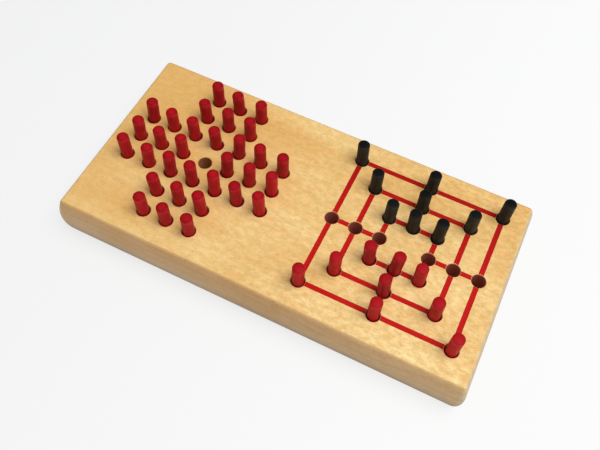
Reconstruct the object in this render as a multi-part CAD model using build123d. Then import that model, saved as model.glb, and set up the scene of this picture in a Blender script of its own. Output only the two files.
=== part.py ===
from build123d import *
import os

# A two-game peg board: one slab of beech with blind holes in two fields on its top face.
# The left field is the 33-hole solitaire cross, the right one the 24 points of nine mens morris
# (a "mill" board) with its painted lines. Loose dowel pegs stand in the holes.
# Millimetres. +X runs from the solitaire field to the mill field, +Y to the back, +Z up.
# The origin is the middle of the underside.

# ---- Driving dimensions ----
hole_pitch = 12.5  # both fields lie on a square grid of this pitch
grid_cells = 6  # pitches across a field: columns a to g, rows 1 to 7

solitaire_margin = 13.6  # top face: left end to the nearest hole centres
mill_margin = 11.6  # top face: right end to the nearest hole centres
front_margin = 14.0  # top face: front edge to the nearest hole centres
back_margin = 12.5  # top face: back edge to the nearest hole centres
field_gap = 32.7  # last solitaire column to first mill column
board_thickness = 26.0
side_crown = 2.25  # all four sides swell outwards by this much at half their height
corner_radius = 2.0  # upright corners
edge_radius = 1.8  # eased top and bottom edges

peg_diameter = 6.0
peg_length = 27.0
peg_end_radius = 1.5  # rounded rim at both ends of a peg
peg_clearance = 0.4  # play all round a peg in its hole
hole_depth = 12.4
hole_chamfer = 0.3  # broken rim of each hole
centre_mark_depth = 1.5  # dent that the drill's centre point leaves in a hole's floor
centre_mark_diameter = 1.6
centre_mark_tip = 0.2  # the dent ends in a small flat this wide

line_width = 2.5  # painted lines of the mill board
line_depth = 0.4  # the lines are cut this deep and filled level with the top

# ---- What follows from them ----
field_span = grid_cells * hole_pitch
top_length = solitaire_margin + field_span + field_gap + field_span + mill_margin
top_width = front_margin + field_span + back_margin
hole_radius = peg_diameter / 2 + peg_clearance
rim_radius = hole_radius + hole_chamfer
hole_floor = board_thickness - hole_depth
middle_row = (front_margin - back_margin) / 2
solitaire_centre = Vector(-top_length / 2 + solitaire_margin + field_span / 2, middle_row)
mill_centre = Vector(top_length / 2 - mill_margin - field_span / 2, middle_row)

# Steps from the middle of a field, -3 to 3, and the letters and numbers that name them.
middle = grid_cells // 2
steps = range(-middle, middle + 1)
arm_half = 1  # the solitaire cross has arms three holes wide
mill_rings = range(1, middle + 1)  # three squares, one pitch apart


def point_name(step_x, step_y):
    """The name of a point as players write it: a column letter and a row number."""
    return "abcdefg"[step_x + middle] + str(step_y + middle + 1)


def point_place(field_centre, step_x, step_y):
    """Where a point of a field lies, seen from above."""
    return field_centre + Vector(step_x * hole_pitch, step_y * hole_pitch)


# Every point of the cross, its own middle included.
solitaire_points = [(x, y) for y in steps for x in steps if abs(x) <= arm_half or abs(y) <= arm_half]
# Eight points on each square of the mill board: its corners and the middles of its sides.
mill_points = [
    (ring * x, ring * y) for ring in mill_rings for y in (-1, 0, 1) for x in (-1, 0, 1) if (x, y) != (0, 0)
]
solitaire_places = [point_place(solitaire_centre, x, y) for x, y in solitaire_points]
mill_places = [point_place(mill_centre, x, y) for x, y in mill_points]


def mill_lines():
    """The paint that fills the cut lines: three squares and the four short lines that join them."""
    strips = Sketch()
    for ring in mill_rings:
        outside = 2 * ring * hole_pitch + line_width
        inside = 2 * ring * hole_pitch - line_width
        strips += Rectangle(outside, outside) - Rectangle(inside, inside)
    inner, outer = mill_rings[0] * hole_pitch, mill_rings[-1] * hole_pitch
    spoke = Rectangle(outer - inner, line_width)
    for quarter in range(4):
        strips += Rot(0, 0, 90 * quarter) * Pos((inner + outer) / 2, 0) * spoke
    strips = Pos(mill_centre) * strips
    for place in mill_places:
        strips -= Pos(place) * Circle(rim_radius)
    floor_of_lines = Pos(0, 0, board_thickness - line_depth)
    return extrude(floor_of_lines * strips, line_depth)


def hole():
    """What a drill and a countersink take out of the top face, with the hole's floor at its origin."""
    bore = extrude(Circle(hole_radius), hole_depth)
    countersink = Pos(0, 0, hole_depth - hole_chamfer) * extrude(Circle(hole_radius), hole_chamfer, taper=-45)
    below_floor = (Align.CENTER, Align.CENTER, Align.MAX)
    centre_mark = Cone(centre_mark_tip / 2, centre_mark_diameter / 2, centre_mark_depth, align=below_floor)
    return bore + countersink + centre_mark


def crowned_section(top_span):
    """The slab cut square across: flat top and underside, and two sides that swell outwards."""
    half = top_span / 2
    right = ThreePointArc((half, 0), (half + side_crown, board_thickness / 2), (half, board_thickness))
    left = mirror(right, Plane.YZ)
    underside = Line(left @ 0, right @ 0)
    top = Line(left @ 1, right @ 1)
    return make_face([underside, right, top, left])


def slab():
    """The bare board: crowned on all four sides, with rounded corners and eased edges."""
    lengthwise = extrude(Plane.YZ * crowned_section(top_width), top_length, both=True)
    crosswise = extrude(Plane.XZ * crowned_section(top_length), top_width, both=True)
    blank = lengthwise & crosswise
    faces = blank.faces().sort_by(Axis.Z)
    blank = fillet(blank.edges() - faces[0].edges() - faces[-1].edges(), corner_radius)
    faces = blank.faces().sort_by(Axis.Z)
    return fillet(faces[0].edges() + faces[-1].edges(), edge_radius)


def board(lines):
    """The beech slab with its 57 blind holes and the shallow cuts for the painted lines."""
    one_hole = hole()
    holes = [Pos(place.X, place.Y, hole_floor) * one_hole for place in solitaire_places + mill_places]
    return slab() - holes - lines


def peg():
    """One dowel peg, standing on its origin."""
    dowel = extrude(Circle(peg_diameter / 2), peg_length)
    return fillet(dowel.edges(), peg_end_radius)


def pegs():
    """Each peg in its hole at the start of play, by node name: the solitaire's middle hole and
    the mill board's middle row stay empty, black stands at the back and red at the front."""
    one_peg = peg()

    def stand(place):
        return Pos(place.X, place.Y, hole_floor) * one_peg

    standing = {}
    for (x, y), place in zip(solitaire_points, solitaire_places):
        if (x, y) != (0, 0):
            standing["solitaire_peg_" + point_name(x, y)] = stand(place)
    for (x, y), place in zip(mill_points, mill_places):
        if y != 0:
            colour = "black" if y > 0 else "red"
            standing[f"mill_{colour}_peg_" + point_name(x, y)] = stand(place)
    return standing


def main():
    os.makedirs("parts", exist_ok=True)
    lines = mill_lines()
    nodes = {"board": board(lines), "mill_lines": lines, **pegs()}
    for name, shape in nodes.items():
        export_step(shape, f"parts/{name}.step")
    size = nodes["board"].bounding_box().size
    print(len(nodes), "nodes; board", round(size.X, 2), "x", round(size.Y, 2), "x", round(size.Z, 2))


main()
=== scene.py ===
# A beech board for two peg games, solitaire on the left and nine mens morris on the right, with loose dowel pegs.
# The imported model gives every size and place. This script adds the finishes, the pegs as they were cut and dyed,
# the paint of the lines, and a plain studio. Sizes and places are in millimetres.
import math
import bpy
import numpy as np
from mathutils import Euler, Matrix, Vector


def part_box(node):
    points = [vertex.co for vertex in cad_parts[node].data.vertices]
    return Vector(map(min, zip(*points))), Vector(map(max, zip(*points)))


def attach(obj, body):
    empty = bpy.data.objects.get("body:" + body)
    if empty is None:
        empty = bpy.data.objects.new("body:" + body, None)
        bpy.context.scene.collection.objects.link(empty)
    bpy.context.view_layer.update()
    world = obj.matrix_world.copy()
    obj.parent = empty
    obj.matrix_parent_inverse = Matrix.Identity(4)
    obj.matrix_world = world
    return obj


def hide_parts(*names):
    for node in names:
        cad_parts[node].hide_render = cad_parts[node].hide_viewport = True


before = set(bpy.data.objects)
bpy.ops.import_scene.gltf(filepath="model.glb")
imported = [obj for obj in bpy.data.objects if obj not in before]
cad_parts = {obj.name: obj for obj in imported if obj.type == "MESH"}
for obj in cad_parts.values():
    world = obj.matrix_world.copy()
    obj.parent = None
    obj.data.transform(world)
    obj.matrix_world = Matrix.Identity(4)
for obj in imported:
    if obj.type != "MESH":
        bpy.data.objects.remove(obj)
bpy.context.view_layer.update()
mm = 0.001


def boxOf(node):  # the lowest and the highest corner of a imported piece
    return [np.array(corner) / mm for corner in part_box(node)]


boardLow, boardHigh = boxOf("board")
boardTop = boardHigh[2]
boardHalf = (boardHigh - boardLow) / 2  # the board's middle is at zero, seen from above
print("board", np.round(boardHigh - boardLow, 1), "mm")


# Short forms of the node calls that every material below uses.

def newMaterial(name):
    material = bpy.data.materials.new(name)
    material.use_nodes = True
    material.node_tree.nodes.clear()
    return material


def addNode(material, kind, inputs=None, **settings):  # a node with its inputs linked or set
    node = material.node_tree.nodes.new(kind)
    for name, value in settings.items():
        setattr(node, name, value)
    for key, value in (inputs or {}).items():
        if isinstance(value, bpy.types.NodeSocket):
            material.node_tree.links.new(value, node.inputs[key])
        else:
            node.inputs[key].default_value = value
    return node


def maths(material, operation, first, second=0.0):
    return addNode(material, "ShaderNodeMath", {0: first, 1: second}, operation=operation).outputs[0]


def plus(material, first, second):
    return maths(material, "ADD", first, second)


def times(material, first, second):
    return maths(material, "MULTIPLY", first, second)


def vectorMaths(material, operation, first, second=(0, 0, 0)):
    node = addNode(material, "ShaderNodeVectorMath", {0: first, 1: second}, operation=operation)
    return node.outputs["Value" if operation == "LENGTH" else "Vector"]


def axesOf(material, vector):  # its x, y and z
    return list(addNode(material, "ShaderNodeSeparateXYZ", {0: vector}).outputs)


def stretched(material, vector, scale, turn=(0, 0, 0), shift=(0, 0, 0)):  # a small scale makes a long pattern
    return addNode(material, "ShaderNodeMapping", {"Vector": vector, "Scale": scale, "Rotation": turn,
                                                   "Location": shift}).outputs[0]


def placeInMm(material):
    place = addNode(material, "ShaderNodeTexCoord").outputs["Object"]
    return stretched(material, place, (1 / mm, 1 / mm, 1 / mm))


def noise(material, vector, detail=2.0, roughness=0.5):
    return addNode(material, "ShaderNodeTexNoise", {"Vector": vector, "Scale": 1.0, "Detail": detail,
                                                    "Roughness": roughness}).outputs["Fac"]


def spots(material, vector):  # 0 in the middle of each cell, rising outwards
    return addNode(material, "ShaderNodeTexVoronoi", {"Vector": vector, "Scale": 1.0}).outputs["Distance"]


def span(material, value, start, end, low=0.0, high=1.0):  # carries start..end smoothly over to low..high
    return addNode(material, "ShaderNodeMapRange", {"Value": value, "From Min": start, "From Max": end,
                                                    "To Min": low, "To Max": high},
                   interpolation_type="SMOOTHSTEP").outputs[0]


def rgba(colour):  # three numbers get their fourth, and a socket stays as it is
    return (*colour, 1) if isinstance(colour, tuple) else colour


def mixed(material, factor, first, second, blend="MIX"):
    return addNode(material, "ShaderNodeMix", {"Factor": factor, "A": rgba(first), "B": rgba(second)},
                   data_type="RGBA", blend_type=blend).outputs["Result"]


def multiplied(material, first, second):
    return mixed(material, 1.0, first, second, "MULTIPLY")


def bump(material, height, depth, strength):
    return addNode(material, "ShaderNodeBump", {"Height": height, "Distance": depth * mm,
                                                "Strength": strength}).outputs[0]


def finishMaterial(material, colour, roughness, gloss, others):
    shader = addNode(material, "ShaderNodeBsdfPrincipled", {
        "Base Color": rgba(colour), "Roughness": roughness, "Specular IOR Level": gloss, **others})
    addNode(material, "ShaderNodeOutputMaterial", {"Surface": shader.outputs[0]})
    return material


cameraSettings = {
    "target": (5.4, -9.9, 26.0),  # where the middle of the picture meets the board's top
    "distance": 331.8,
    "heading": 22.14,  # degrees, the camera stands to the right of straight in front
    "height": 60.21,  # degrees above the horizon
    "roll": 4.23,  # degrees
    "lens": 41.47,
    "sensor": 36.0,
    "clip": (0.01, 50.0),  # metres
}


def addCamera(settings):
    data = bpy.data.cameras.new("camera")
    data.lens = settings["lens"]
    data.sensor_width = settings["sensor"]
    data.clip_start, data.clip_end = settings["clip"]
    camera = bpy.data.objects.new("camera", data)
    bpy.context.scene.collection.objects.link(camera)
    heading, height = math.radians(settings["heading"]), math.radians(settings["height"])
    back = Vector((math.sin(heading) * math.cos(height), -math.cos(heading) * math.cos(height), math.sin(height)))
    camera.location = (Vector(settings["target"]) + settings["distance"] * back) * mm
    level = (-back).to_track_quat("-Z", "Y").to_matrix()
    turn = Euler((0, 0, math.radians(settings["roll"]))).to_matrix()
    camera.rotation_euler = (level @ turn).to_euler()
    bpy.context.scene.camera = camera


addCamera(cameraSettings)
print("camera set")


studioSettings = {
    "floorSize": 16000.0,
    "paperColour": (0.15, 0.15, 0.15),  # what the paper gives back of the light from above
    "paperRoughness": 0.9,
    "paperGloss": 0.1,
    "paintedGlowColour": (0.78, 0.78, 0.78),  # painted light: the paper's own glow, standing in for a brightly lit floor; no lamp lies under it
    "footInset": 3.4,  # from the board's widest outline in to where it stands on the paper
    "paintedGlowEdge": 1.1,  # the painted glow rises over this width from there, leaving the paper dark under the board's edge
    "paintedGlowSides": (0.93, 1.03),  # painted fall of light: the glow's strength to the left and to the right of the board
    "paintedGlowReach": 300.0,  # from the middle to where the painted glow has that strength
    "skyColour": (0.32, 0.337, 0.345),
    "horizonColour": (0.72, 0.73, 0.73),  # a pale wall all round
    "wallFade": (0.088, 0.22),  # sine of the height above the horizon where the wall starts and ends fading
    "softboxFrom": (478.0, 50.0, 1400.0),
    "softboxSize": 950.0,
    "softboxWatts": 20.5,
}


def floorMaterial(settings):
    # White paper that glows by itself, painted light standing in for a brightly lit floor: the glow starts just
    # outside the board's foot, still under its swelling sides, and is brighter to the right.
    paper = newMaterial("paper")
    place = placeInMm(paper)
    foot = boardHalf - settings["footInset"]
    beyond = vectorMaths(paper, "SUBTRACT", vectorMaths(paper, "ABSOLUTE", place), (foot[0], foot[1], 0))
    distance = vectorMaths(paper, "LENGTH", vectorMaths(paper, "MAXIMUM", beyond))
    reach = settings["paintedGlowReach"]
    paintedGlow = times(paper, span(paper, distance, 0.0, settings["paintedGlowEdge"]),
                 span(paper, axesOf(paper, place)[0], -reach, reach, *settings["paintedGlowSides"]))
    return finishMaterial(paper, settings["paperColour"], settings["paperRoughness"], settings["paperGloss"],
                          {"Emission Strength": paintedGlow, "Emission Color": rgba(settings["paintedGlowColour"])})


def addStudio(settings):
    half = settings["floorSize"] / 2 * mm
    mesh = bpy.data.meshes.new("floor")
    mesh.from_pydata([(-half, -half, 0), (half, -half, 0), (half, half, 0), (-half, half, 0)], [], [(0, 1, 2, 3)])
    mesh.materials.append(floorMaterial(settings))
    floor = bpy.data.objects.new("floor", mesh)
    bpy.context.scene.collection.objects.link(floor)

    light = bpy.data.lights.new("softbox", "AREA")
    light.shape, light.size = "SQUARE", settings["softboxSize"] * mm
    light.energy = settings["softboxWatts"]
    softbox = bpy.data.objects.new("softbox", light)
    bpy.context.scene.collection.objects.link(softbox)
    softbox.location = Vector(settings["softboxFrom"]) * mm
    softbox.rotation_euler = (-softbox.location).to_track_quat("-Z", "Y").to_euler()

    world = bpy.data.worlds.new("sky")
    world.use_nodes = True
    view = addNode(world, "ShaderNodeTexCoord").outputs["Generated"]
    aboveWall = span(world, axesOf(world, view)[2], *settings["wallFade"])
    shade = mixed(world, aboveWall, settings["horizonColour"], settings["skyColour"])
    world.node_tree.links.new(shade, world.node_tree.nodes["Background"].inputs["Color"])
    bpy.context.scene.world = world
    bpy.context.scene.view_settings.view_transform = "Standard"


addStudio(studioSettings)
print("studio lit")


beechSettings = {
    # Colours of the wood. The clouds, the orange spots and the sides' tints multiply what lies under them.
    "pale": (0.865, 0.62, 0.268),
    "pink": (0.73, 0.428, 0.131),
    "clouds": ((0.80, 0.77, 0.58), (1.08, 1.115, 1.23)),  # darker and lighter ones, a few millimetres long
    "orange": (1.027, 0.88, 0.80),
    "lateWood": (0.64, 0.37, 0.13),  # the darker edge of each year ring
    "ray": (0.45, 0.22, 0.075),  # short dark flecks of the rays
    "side": ((0.69, 0.65, 0.785), (0.745, 0.66, 0.705)),  # painted shade: the long edges are darker and greyer than the top, and bluer low down
    "footShade": (0.14, 0.09, 0.05),  # painted shade: the sides and ends grow darker towards the foot
    "endGrain": (0.62, 0.48, 0.29),
    "endRing": (0.40, 0.27, 0.14),
    "drilledAndShaded": (0.40, 0.165, 0.065),  # inside the holes: the drilled wood's own darker tone, with painted shade of the hollow
    "paintedRedBounce": (0.45, 0.085, 0.085),  # painted red bounce from the pegs, and painted shade, in the holes of the right field

    # Patterns: how many of their waves or cells there are in a millimetre, along the board, across it and upwards.
    # A pattern starts to show at the first of its two levels and shows fully at the second.
    "patchWaves": (0.016, 0.045, 0.045),
    "cloudWaves": (0.25, 0.42, 0.42),
    "cloudLevels": (0.72, 0.28),
    "orangeWaves": (0.22, 0.36, 0.36),
    "orangeFrom": (31.0, 7.0, 0.0),  # the same kind of noise as the clouds, so it is taken from another place
    "orangeLevels": (0.45, 0.7),
    "rayCells": (0.42, 1.7, 1.7),
    "rayLevels": (0.34, 0.10),  # from the middle of a cell
    "rayGroups": (0.12, 0.3, 0.3),
    "rayGroupLevels": (0.35, 0.65),
    "fineWaves": (0.4, 1.6, 1.6),
    "fineLevels": (0.45, 0.85),

    # Where the wood is pinker: in patches, its own colour, and towards the ends in the back half, a painted shade that
    # leaves the front corners lighter.
    "patchShare": 0.6,
    "pinkOutward": 0.0008,  # for each millimetre from the middle towards an end
    "pinkShadeBackward": 0.00003,  # painted shade: more than that for each millimetre towards the back, and less towards the front
    "pinkRange": (0.08, 0.46),  # wholly pale up to the first and wholly pink from the second
    # Painted light: three placed areas, made paler. Each fades in from the first place to the second, along the board
    # and across it.
    "paintedLightShare": 0.12,
    "paintedLightFront": {"x": (-40.0, 40.0), "y": (-28.0, -45.0)},
    "paintedLightRight": {"x": (0.0, 50.0), "y": (35.0, 0.0, 0.45, 0.8)},  # only 0.45 of it at the back, and 0.8 in front
    "paintedLightBack": {"x": (-90.0, -40.0), "y": (30.0, 50.0)},

    # How lively the grain is.
    "figure": (0.33, 0.74),  # at the left and at the right end
    "figureSpan": (-90.0, 90.0),
    "frontFigure": 0.12,  # more than that along the front edge
    "flankFigure": 0.35,  # share of it on the long edges
    "fineShare": 0.57,
    "rayShare": (0.2, 0.62),  # where the rays are few and where they are many

    # Year rings.
    "pith": (0.0, 14.0, -62.0),  # the middle of the trunk, below the board
    "pithTurn": (0.0, 1.6, -0.8),  # degrees, the trunk wasn't quite in line with the board
    "ringWidth": 2.7,
    "ringWaves": (0.012, 0.05, 0.05),
    "ringWander": 9.0,  # most that a ring strays
    "ringLevels": (0.3, 1.0),  # shares of a ring's width where it starts and ends growing darker
    "ringShare": (0.16, 0.26),  # on the top and on the long edges

    # Where the faces begin and end.
    "sideFrom": (3.3, 2.4),  # in from the widest outline, where the top's finish starts and ends turning into a side's
    "paintedSideShadeFrom": 0.35,  # the painted shade on the sides is at its darkest and bluest up to this share of the height
    "endShare": 0.85,  # of the end grain over the top's finish
    "endRingShare": 0.45,
    "endFineShare": 0.5,
    "endFineLevels": (0.4, 0.8),
    "footTop": (13.0, 3.0),  # the painted shade starts at the first height and is darkest below the second
    "footShadeShare": 0.55,
    "holesWithin": 5.0,  # in from the widest outline
    "holesAbove": 2.0,  # over the underside
    "holesBelow": (0.02, 0.25),  # below the top, where the holes' painted shade starts and is complete
    "paintedRedBounceShare": 0.55,

    "roughness": (0.49, 0.63),
    "roughnessLevels": (0.2, 0.8),  # of the patches
    "gloss": 0.3,
    "grainDepth": 0.06,
    "grainStrength": 0.6,
}


def areaOf(material, x, y, area):
    return times(material, span(material, x, *area["x"]), span(material, y, *area["y"]))


def beechMaterial(settings):
    wood = newMaterial("oiledBeech")
    place = placeInMm(wood)
    x, y, z = axesOf(wood, place)
    fromMiddle = axesOf(wood, vectorMaths(wood, "ABSOLUTE", place))
    sideStart, sideEnd = settings["sideFrom"]
    end, flank = (span(wood, fromMiddle[axis], boardHalf[axis] - sideStart, boardHalf[axis] - sideEnd)
                  for axis in (0, 1))

    patches = noise(wood, stretched(wood, place, settings["patchWaves"]), detail=3.0, roughness=0.6)
    # Painted light and shade by place: the back corners darker; the front corners, the front, the right and one area
    # at the back on the left lighter.
    outward = plus(wood, times(wood, y, settings["pinkShadeBackward"]), settings["pinkOutward"])
    front, right, back = (areaOf(wood, x, y, settings[area]) for area in ("paintedLightFront", "paintedLightRight", "paintedLightBack"))
    paintedLight = maths(wood, "MAXIMUM", maths(wood, "MAXIMUM", front, right), back)
    lightByPlace = plus(wood, times(wood, fromMiddle[0], outward), times(wood, paintedLight, -settings["paintedLightShare"]))
    pinker = plus(wood, times(wood, patches, settings["patchShare"]), lightByPlace)
    colour = mixed(wood, span(wood, pinker, *settings["pinkRange"]), settings["pale"], settings["pink"])

    figure = plus(wood, span(wood, x, *settings["figureSpan"], *settings["figure"]),
                  times(wood, front, settings["frontFigure"]))
    figure = times(wood, figure, span(wood, flank, 0.0, 1.0, 1.0, settings["flankFigure"]))
    clouds = noise(wood, stretched(wood, place, settings["cloudWaves"]), roughness=0.6)
    cloudy = mixed(wood, span(wood, clouds, *settings["cloudLevels"]), *settings["clouds"])
    colour = mixed(wood, figure, colour, multiplied(wood, colour, cloudy))
    spot = noise(wood, stretched(wood, place, settings["orangeWaves"], shift=settings["orangeFrom"]), roughness=0.6)
    colour = mixed(wood, times(wood, span(wood, spot, *settings["orangeLevels"]), figure), colour,
                   multiplied(wood, colour, settings["orange"]))

    # Year rings: how far a point is from the trunk's middle, a little wavy, counted in ring widths.
    turn = tuple(math.radians(angle) for angle in settings["pithTurn"])
    trunk = stretched(wood, place, (0.0, 1.0, 1.0), turn, tuple(-v for v in settings["pith"]))
    wave = times(wood, noise(wood, stretched(wood, place, settings["ringWaves"])), settings["ringWander"])
    rings = maths(wood, "DIVIDE", plus(wood, vectorMaths(wood, "LENGTH", trunk), wave), settings["ringWidth"])
    ring = span(wood, maths(wood, "FRACT", rings), *settings["ringLevels"])
    ringShare = span(wood, flank, 0.0, 1.0, *settings["ringShare"])
    colour = mixed(wood, times(wood, ring, ringShare), colour, settings["lateWood"])

    # Rays: long cells in the line of the grain, dark only at their middles, and fewer of them here and there.
    cells = spots(wood, stretched(wood, place, settings["rayCells"]))
    groups = noise(wood, stretched(wood, place, settings["rayGroups"]), detail=1.0)
    rays = times(wood, span(wood, cells, *settings["rayLevels"]),
                 span(wood, groups, *settings["rayGroupLevels"], *settings["rayShare"]))
    colour = mixed(wood, rays, colour, settings["ray"])
    fine = noise(wood, stretched(wood, place, settings["fineWaves"]), detail=3.0, roughness=0.6)
    flecks = times(wood, span(wood, fine, *settings["fineLevels"], 0.0, settings["fineShare"]), figure)
    colour = mixed(wood, flecks, colour, settings["ray"])

    # Painted shade: the long sides are darkened and greyed, bluest low down.
    paintedSideShade = mixed(wood, span(wood, z, boardTop * settings["paintedSideShadeFrom"], boardTop), *settings["side"])
    colour = mixed(wood, flank, colour, multiplied(wood, colour, paintedSideShade))
    # The end grain shows the year rings cut square across, with fine dark lines between them.
    cut = mixed(wood, times(wood, ring, settings["endRingShare"]), settings["endGrain"], settings["endRing"])
    lines = span(wood, fine, *settings["endFineLevels"], 0.0, settings["endFineShare"])
    cut = mixed(wood, lines, cut, settings["endRing"])
    colour = mixed(wood, times(wood, end, settings["endShare"]), colour, cut)
    # Painted contact shade along the foot of the sides and ends.
    dirtAndShade = times(wood, span(wood, z, *settings["footTop"], 0.0, settings["footShadeShare"]),
                 maths(wood, "MAXIMUM", flank, end))
    colour = mixed(wood, dirtAndShade, colour, settings["footShade"])

    # Only the walls and floors of the holes lie below the top and inside the four sides. They get painted shade, and
    # in the right field a painted red bounce from the pegs.
    within = [maths(wood, "LESS_THAN", fromMiddle[axis], boardHalf[axis] - settings["holesWithin"])
              for axis in (0, 1)]
    below = times(wood, span(wood, z, *(boardTop - depth for depth in settings["holesBelow"])),
                  maths(wood, "GREATER_THAN", z, settings["holesAbove"]))
    inHole = times(wood, times(wood, *within), below)
    rightField = maths(wood, "GREATER_THAN", x, 0.0)
    shadedWalls = mixed(wood, times(wood, rightField, settings["paintedRedBounceShare"]), settings["drilledAndShaded"], settings["paintedRedBounce"])
    colour = mixed(wood, inHole, colour, shadedWalls)

    roughness = span(wood, patches, *settings["roughnessLevels"], *settings["roughness"])
    relief = bump(wood, plus(wood, fine, rays), settings["grainDepth"], settings["grainStrength"])
    return finishMaterial(wood, colour, roughness, settings["gloss"], {"Normal": relief})


def dress(node, material):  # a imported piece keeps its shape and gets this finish
    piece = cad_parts[node]
    piece.data.materials.clear()
    piece.data.materials.append(material)


dress("board", beechMaterial(beechSettings))
print("board finished")


def addPiece(name, points, faces, material):
    mesh = bpy.data.meshes.new(name)
    mesh.from_pydata((points * mm).tolist(), [], faces)
    mesh.polygons.foreach_set("use_smooth", np.ones(len(faces), dtype=bool))
    mesh.materials.append(material)
    piece = bpy.data.objects.new(name, mesh)
    bpy.context.scene.collection.objects.link(piece)
    return piece


def gridFaces(rows, columns, closed, first=0):
    # Quads between the points of a grid, counted row by row; a closed grid joins its last column to its first.
    row, column = np.meshgrid(np.arange(rows - 1), np.arange(columns if closed else columns - 1), indexing="ij")
    here = first + row * columns + column
    beside = first + row * columns + (column + 1) % columns
    return np.stack([here, beside, beside + columns, here + columns], axis=-1).reshape(-1, 4)


def holeOf(node):  # the middle of a peg's hole, seen from above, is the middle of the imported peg
    low, high = boxOf(node)
    return (low + high)[:2] / 2


paintSettings = {
    "colour": (0.47, 0.005, 0.0045),
    "thin": (0.52, 0.025, 0.015),  # in patches, where the wood shows through a little
    "thinShare": 0.5,
    "thinLevels": (0.45, 0.8),
    "backShade": (0.35, 0.004, 0.002),  # painted shade: darker towards the back
    "backShadeShare": 0.85,
    "backShadeFrom": (0.0, 40.0),  # the painted shade starts at the first place and is darkest beyond the second
    "patchWaves": (0.35, 0.9, 0.9),  # in a millimetre, along the board, across it and upwards
    "grainWaves": (0.5, 2.2, 2.2),
    "roughness": (0.45, 0.6),
    "roughnessLevels": (0.3, 0.7),  # of the patches
    "gloss": 0.07,
    "grainDepth": 0.05,
    "grainStrength": 0.5,
    "pitches": 6,  # from one side of the largest square to the other
    "holeRim": 3.7,  # radius of the broken rim of a hole, where the paint stops
    "film": 0.03,  # its edges lie this much above the wood
    "dip": 0.09,  # and its middle this much lower than they
    "depth": 0.3,  # its underside, below the top of the board
    "creep": 0.09,  # most that it has crept along the grain past the cut
    "crispness": 0.3,  # share of that creep across the grain
    "creepWaves": (0.5, 1.1, 1.9, 3.1),  # radians in a millimetre
    "step": 0.5,  # length of a face along the line
    "acrossFaces": 12,
    "seed": 4,
}


def paintMaterial(settings):
    paint = newMaterial("linePaint")
    place = placeInMm(paint)
    patches = noise(paint, stretched(paint, place, settings["patchWaves"]), detail=3.0, roughness=0.6)
    grain = noise(paint, stretched(paint, place, settings["grainWaves"]), detail=4.0, roughness=0.7)
    thin = span(paint, patches, *settings["thinLevels"], 0.0, settings["thinShare"])
    colour = mixed(paint, thin, settings["colour"], settings["thin"])
    # Painted shade: the lines grow darker towards the back.
    toBack = span(paint, axesOf(paint, place)[1], *settings["backShadeFrom"], 0.0, settings["backShadeShare"])
    colour = mixed(paint, toBack, colour, settings["backShade"])
    roughness = span(paint, patches, *settings["roughnessLevels"], *settings["roughness"])
    relief = bump(paint, grain, settings["grainDepth"], settings["grainStrength"])
    return finishMaterial(paint, colour, roughness, settings["gloss"], {"Normal": relief})


def paintStrip(start, end, width, settings, random):
    # A strip between two holes. Across it, the height is an edge film less a round dip in the middle. Along it, each
    # row starts and ends on the circle of the hole's rim, and each edge wanders outwards by a sum of sines, more
    # where it runs across the grain, which lies along X.
    line = end - start
    length = np.linalg.norm(line)
    along = line / length
    normal = np.array([-along[1], along[0]])
    rows, columns = int(length / settings["step"]), settings["acrossFaces"] + 1
    share, side = np.meshgrid(np.linspace(0, 1, rows), np.linspace(-1, 1, columns), indexing="ij")
    waves = np.array(settings["creepWaves"])
    phases = random.uniform(0, 2 * math.pi, (2, len(waves)))
    wander = np.sin(waves * share[:, :1] * length + phases[:, None, :]).mean(axis=2) * 0.5 + 0.5
    most = settings["creep"] * (settings["crispness"] + (1 - settings["crispness"]) * abs(normal[0]))
    half = width / 2 + most * np.where(side > 0, wander[1][:, None], wander[0][:, None])
    offset = side * half
    cut = np.sqrt(settings["holeRim"] ** 2 - offset ** 2)
    reach = cut + share * (length - 2 * cut)
    flat = start + reach[..., None] * along + offset[..., None] * normal
    height = boardTop + settings["film"] - settings["dip"] * np.sqrt(1 - side ** 2)
    top = np.concatenate([flat, height[..., None]], axis=2)
    under = np.concatenate([flat, np.full_like(height, boardTop - settings["depth"])[..., None]], axis=2)
    points = np.concatenate([top.reshape(-1, 3), under.reshape(-1, 3)])

    # Top and underside share one outline: the grid's edge walked once round.
    number = np.arange(rows * columns).reshape(rows, columns)
    rim = np.concatenate([number[0, :-1], number[:-1, -1], number[-1, :0:-1], number[:0:-1, 0]])
    after = np.roll(rim, -1)
    grid = gridFaces(rows, columns, False)
    wall = np.stack([after, after + rows * columns, rim + rows * columns, rim], axis=1)
    return points, np.concatenate([grid[:, ::-1], grid + rows * columns, wall])


def addPaint(settings):
    # The field's corners stand at the outer pegs, and the paint's own box gives its width.
    near, far = holeOf("mill_red_peg_a1"), holeOf("mill_black_peg_g7")
    middle, pitch = (near + far) / 2, (far - near)[0] / settings["pitches"]
    low, high = boxOf("mill_lines")
    width = (high - low)[0] - settings["pitches"] * pitch
    random = np.random.default_rng(settings["seed"])
    # A square's corners and the middles of its sides, walked once round, in steps of half its side.
    around = np.array([(-1, -1), (0, -1), (1, -1), (1, 0), (1, 1), (0, 1), (-1, 1), (-1, 0), (-1, -1)])
    ends = [(around[i] * square, around[i + 1] * square) for square in (1, 2, 3) for i in range(8)]
    ends += [(spoke * square, spoke * (square + 1)) for square in (1, 2) for spoke in around[1:8:2]]
    points, faces, count = [], [], 0
    for start, end in ends:
        stripPoints, stripFaces = paintStrip(middle + start * pitch, middle + end * pitch, width, settings, random)
        points.append(stripPoints)
        faces.append(stripFaces + count)
        count += len(stripPoints)
    paint = addPiece("painted_lines", np.concatenate(points), np.concatenate(faces).tolist(), paintMaterial(settings))
    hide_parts("mill_lines")
    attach(paint, "board")


addPaint(paintSettings)
print("lines painted")


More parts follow.
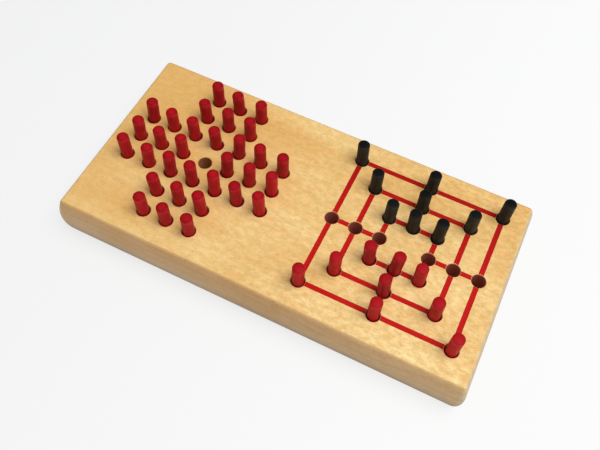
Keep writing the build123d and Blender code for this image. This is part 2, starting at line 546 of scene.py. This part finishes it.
redDye = {
    "name": "redDyedBirch",
    "deep": (0.35, 0.006, 0.013),  # each peg has its own tone between deep and bright
    "bright": (0.50, 0.010, 0.017),
    "streak": (0.13, 0.003, 0.006),  # along the fibres
    "grimy": (0.12, 0.002, 0.003),
    "worn": (0.64, 0.024, 0.026),
    "soaked": (0.33, 0.001, 0.002),  # the ends
    "soak": 0.55,
    "gloss": 0.07,
}
blackDye = {
    "name": "blackDyedBirch",
    "deep": (0.023, 0.021, 0.018),
    "bright": (0.042, 0.038, 0.030),
    "streak": (0.006, 0.005, 0.004),
    "grimy": (0.009, 0.008, 0.007),
    "worn": (0.040, 0.036, 0.028),
    "soaked": (0.002, 0.0022, 0.0025),
    "soak": 0.9,
    "gloss": 0.05,
}

pegSettings = {
    "sides": 48,
    "endRings": 4,
    "rimRings": 7,
    "sideRings": 16,
    "rimRadius": 0.8,
    "dome": 0.2,  # the middle of an end stands out by this much

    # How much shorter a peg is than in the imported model, least and most. Pegs are named by their places.
    "shorter": (0.5, 1.2),
    "longest": {"solitaire": "a3 c3 d2 d3 e2 e3 e4 f3 f5 g3", "mill": "a1 b2 d3 f2 g1"},
    "longestCut": (0.1, 0.35),
    "shortest": {"solitaire": "a5 b4 b5 c2 c4 c5 c6 d5 d7 e1 e7", "mill": "d7"},
    "shortestCut": (1.2, 1.9),

    # Which way a peg leans, as seen by the camera, and by what share of its play. The rest lean to front or back.
    "play": 0.38,  # most that its middle stands off the hole's, at the foot and at the mouth
    "leftward": {"solitaire": "c2 c5 c6 d5 d7 e2 f3 g3", "mill": "a7 c3 d2 d5 d6 e3 f2 f6"},
    "rightward": {"solitaire": "a4 a5 b3 c3 e4 e5 f4", "mill": "d3"},
    "asideShare": (0.5, 0.8),
    "restShare": (0.1, 0.6),
    "aim": 0.4,  # radians either way

    "sawCut": 0.12,  # most that the top slopes, across its width
    "oval": 0.006,  # share of the radius
    "fibre": 0.014,  # depth of the ridges that the dowel cutter leaves
    "ridges": (7, 11, 17),  # how many of them there are round a peg, in three sets

    "worn": 2.4,  # below its top edge, over which a peg's side is rubbed lighter
    "wornShare": 0.75,
    "handled": {"solitaire": 1.0, "mill": 0.4},  # how dirty the rims of their tops are
    "dirtRing": (0.78, 0.18),  # middle and width of the dirt on an end, as shares of the radius
    "dirtDepth": 0.5,  # down the side
    "grainApart": 400.0,  # the pegs' grain is taken from places up to this far apart
    "fibreWaves": (2.4, 2.4, 0.16),  # in a millimetre, across a peg twice and along it
    "poreCells": (3.6, 3.6, 0.3),
    "scuffWaves": (1.3, 1.3, 0.9),
    "streakShare": 0.8,
    "streakLevels": (0.48, 0.78),
    "poreShare": 0.6,
    "poreLevels": (0.25, 0.08),  # from the middle of a pore
    "scuffShare": (0.4, 1.0),  # least and most of the dirt that scuffs have left
    "scuffLevels": (0.35, 0.65),
    "roughness": (0.37, 0.56),
    "roughnessLevels": (0.3, 0.75),  # of the fibres
    "grainDepth": 0.05,
    "grainStrength": 0.6,
    "seed": 11,
}


def dyeMaterial(dye, settings):
    # "grain" holds each peg's own millimetres, "tone" how much dye it took, "worn" where its side is rubbed lighter,
    # "grime" how dirty its upper rim is and "soak" where the cut ends drank more dye.
    stain = newMaterial(dye["name"])
    grain = addNode(stain, "ShaderNodeAttribute", attribute_name="grain").outputs["Vector"]
    tone, worn, grime, soak = (addNode(stain, "ShaderNodeAttribute", attribute_name=name).outputs["Fac"]
                               for name in ("tone", "worn", "grime", "soak"))
    colour = mixed(stain, tone, dye["deep"], dye["bright"])
    colour = mixed(stain, times(stain, worn, settings["wornShare"]), colour, dye["worn"])
    fibres = noise(stain, stretched(stain, grain, settings["fibreWaves"]), detail=4.0, roughness=0.65)
    streaks = span(stain, fibres, *settings["streakLevels"], 0.0, settings["streakShare"])
    colour = mixed(stain, streaks, colour, dye["streak"])
    pores = spots(stain, stretched(stain, grain, settings["poreCells"]))
    pores = span(stain, pores, *settings["poreLevels"], 0.0, settings["poreShare"])
    colour = mixed(stain, pores, colour, dye["streak"])
    colour = mixed(stain, times(stain, soak, dye["soak"]), colour, dye["soaked"])
    scuffs = noise(stain, stretched(stain, grain, settings["scuffWaves"]), detail=3.0, roughness=0.6)
    dirtAndShade = times(stain, grime, span(stain, scuffs, *settings["scuffLevels"], *settings["scuffShare"]))
    colour = mixed(stain, dirtAndShade, colour, dye["grimy"])
    roughness = span(stain, fibres, *settings["roughnessLevels"], *settings["roughness"])
    relief = bump(stain, fibres, settings["grainDepth"], settings["grainStrength"])
    return finishMaterial(stain, colour, roughness, dye["gloss"], {"Normal": relief})


def pegProfile(settings, radius, length):
    # Half a peg's outline from the middle of its foot to the middle of its top: a shallow dome (height as the square
    # of the radius), a quarter circle round the rim, the straight side, and the two again in mirror image.
    rim, dome = settings["rimRadius"], settings["dome"]
    flat = radius - rim
    out = np.linspace(0, 1, settings["endRings"] + 1)[1:]
    turn = np.linspace(0, math.pi / 2, settings["rimRings"] + 1)[1:]
    endRadii = np.concatenate([out * flat, flat + rim * np.sin(turn)])
    endHeights = np.concatenate([dome * out ** 2, dome + rim * (1 - np.cos(turn))])
    side = np.linspace(endHeights[-1], length - endHeights[-1], settings["sideRings"] + 2)[1:-1]
    radii = np.concatenate([endRadii, np.full(len(side), radius), endRadii[::-1]])
    heights = np.concatenate([endHeights, side, length - endHeights[::-1]])
    return radii, heights


def fieldOf(node):
    return node.split("_")[0]


def isNamed(node, points):
    return node.split("_")[-1] in points[fieldOf(node)].split()


def lengthCut(node, settings, random):
    if isNamed(node, settings["longest"]):
        return random.uniform(*settings["longestCut"])
    if isNamed(node, settings["shortest"]):
        return random.uniform(*settings["shortestCut"])
    return random.uniform(*settings["shorter"])


def leanOf(node, settings, random):  # an angle on the board, and a share of the play
    aside = math.radians(cameraSettings["heading"]) + random.uniform(-settings["aim"], settings["aim"])
    if isNamed(node, settings["rightward"]):
        return aside, random.uniform(*settings["asideShare"])
    if isNamed(node, settings["leftward"]):
        return aside + math.pi, random.uniform(*settings["asideShare"])
    return aside + math.pi * random.choice([-0.5, 0.5]), random.uniform(*settings["restShare"])


def addAttribute(piece, name, values):  # three numbers to a point, or one
    kind, field = ("FLOAT_VECTOR", "vector") if values.ndim == 2 else ("FLOAT", "value")
    piece.data.attributes.new(name, kind, "POINT").data.foreach_set(field, values.ravel())


def addPeg(node, material, settings, random):
    # The outline is carried round the peg's axis. The radius varies with the angle as an oval and a few fine ridges,
    # the top slopes a little (as the fourth power of the height), and the axis leans from one side of the hole's
    # play to the other.
    low, high = boxOf(node)
    radius = (high - low)[0] / 2
    length = (high - low)[2] - lengthCut(node, settings, random)
    sides = settings["sides"]
    radii, heights = pegProfile(settings, radius, length)
    angle = np.arange(sides) * 2 * math.pi / sides
    ridges = np.array(settings["ridges"])
    *ridgePhases, ovalPhase, slopePhase = random.uniform(0, 2 * math.pi, len(ridges) + 2)
    ridge = np.cos(ridges * angle[:, None] + ridgePhases).mean(axis=1) - 1
    oval = np.cos(2 * angle + ovalPhase) - 1
    across = radii[:, None] * (1 + settings["oval"] * oval + settings["fibre"] / radius * ridge)
    x, y = across * np.cos(angle), across * np.sin(angle)
    z = np.broadcast_to(heights[:, None], x.shape)
    uphill = x * np.cos(slopePhase) + y * np.sin(slopePhase)
    z = z + settings["sawCut"] / (2 * radius) * uphill * (z / length) ** 4
    around = np.stack([x, y, z], axis=-1).reshape(-1, 3)
    local = np.concatenate([[(0, 0, 0)], around, [(0, 0, length)]])

    lean, share = leanOf(node, settings, random)
    toward = np.array([math.cos(lean), math.sin(lean)])
    mouth = share * settings["play"]  # at the foot it stands as far off on the other side
    slope = 2 * mouth / (boardTop - low[2])
    tip = (radius - settings["rimRadius"]) * slope  # a leaning peg stands on the edge of its foot
    points = local.copy()
    points[:, :2] += holeOf(node) + (slope * local[:, 2:] - mouth) * toward
    points[:, 2] += low[2] + tip - slope * local[:, :2] @ toward

    last = len(points) - 1
    beside = np.roll(np.arange(sides), -1)
    foot = [(0, 1 + b, 1 + a) for a, b in enumerate(beside)]
    top = [(last, last - sides + a, last - sides + b) for a, b in enumerate(beside)]
    quads = gridFaces(len(radii), sides, True, first=1)
    peg = addPiece("dowel_" + node, points, quads.tolist() + foot + top, material)

    fromAxis = np.hypot(local[:, 0], local[:, 1]) / radius
    fromTop = length - local[:, 2]
    onSide = np.clip(10 * fromAxis - 9, 0, 1)  # the outer tenth of the radius
    ringAt, ringWidth = settings["dirtRing"]
    dirtAndShade = np.exp(-((fromAxis - ringAt) / ringWidth) ** 2 - (fromTop / settings["dirtDepth"]) ** 2)
    addAttribute(peg, "grain", local + random.uniform(0, settings["grainApart"], 3))
    addAttribute(peg, "tone", np.full(len(points), random.uniform()))
    addAttribute(peg, "worn", np.exp(-(fromTop / settings["worn"]) ** 2) * onSide)
    addAttribute(peg, "grime", settings["handled"][fieldOf(node)] * dirtAndShade)
    addAttribute(peg, "soak", np.clip((1 - fromAxis) * radius / settings["rimRadius"], 0, 1))
    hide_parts(node)
    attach(peg, node)
    return peg


def addPegs(settings):
    random = np.random.default_rng(settings["seed"])
    red, black = dyeMaterial(redDye, settings), dyeMaterial(blackDye, settings)
    for node in sorted(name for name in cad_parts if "_peg_" in name):
        isBlack = "black" in node
        peg = addPeg(node, black if isBlack else red, settings, random)


addPegs(pegSettings)
print("pegs standing")
